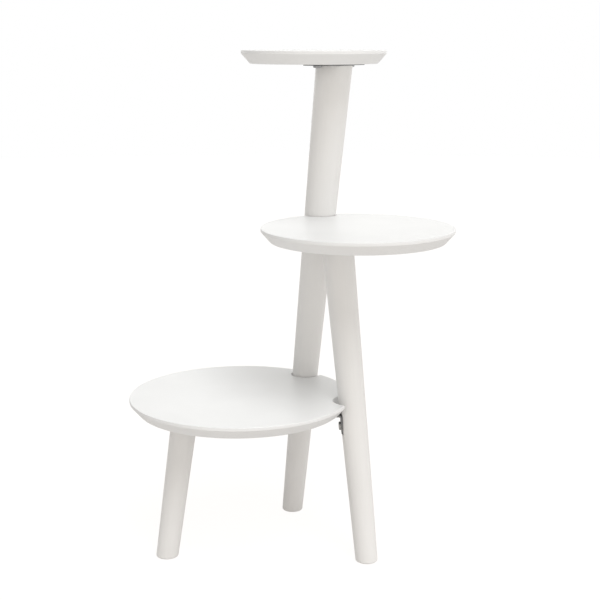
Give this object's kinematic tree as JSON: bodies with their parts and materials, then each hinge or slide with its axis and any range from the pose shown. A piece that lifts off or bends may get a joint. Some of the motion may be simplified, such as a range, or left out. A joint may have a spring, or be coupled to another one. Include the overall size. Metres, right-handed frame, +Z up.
{
  "type": "plant stand",
  "caption": "Stepped plant stand: round trays with bevelled undercut rims at rising heights on leaning tapered round legs, joined by steel plates and angle brackets.",
  "frame": {"origin": "on the floor, under the middle of the whole stand's outline", "axes": "+Z up; seen from the front, +X is to the right and +Y is away from the viewer"},
  "size_m": [0.4462, 0.326, 0.7],
  "materials": {
    "painted_wood": "white satin paint",
    "plated_steel": "zinc plated",
    "insert_brass": "plain"
  },
  "bodies": {
    "root": {"bottom_tray": "painted_wood", "bottom_tray_middle_leg_bracket": "plated_steel", "bottom_tray_middle_leg_bracket_bolts": "plated_steel", "bottom_tray_middle_leg_bracket_inserts": "insert_brass", "bottom_tray_tall_leg_bracket": "plated_steel", "bottom_tray_tall_leg_bracket_bolts": "plated_steel", "bottom_tray_tall_leg_bracket_inserts": "insert_brass", "middle_leg": "painted_wood", "middle_leg_plate": "plated_steel", "middle_leg_plate_bolts": "plated_steel", "middle_leg_plate_inserts": "insert_brass", "middle_leg_plate_screws": "plated_steel", "middle_tray": "painted_wood", "middle_tray_tall_leg_bracket": "plated_steel", "middle_tray_tall_leg_bracket_bolts": "plated_steel", "middle_tray_tall_leg_bracket_inserts": "insert_brass", "short_leg": "painted_wood", "short_leg_plate": "plated_steel", "short_leg_plate_bolts": "plated_steel", "short_leg_plate_inserts": "insert_brass", "short_leg_plate_screws": "plated_steel", "tall_leg": "painted_wood", "tall_leg_plate": "plated_steel", "tall_leg_plate_bolts": "plated_steel", "tall_leg_plate_inserts": "insert_brass", "tall_leg_plate_screws": "plated_steel", "top_tray": "painted_wood"}
  },
  "joints": []
}
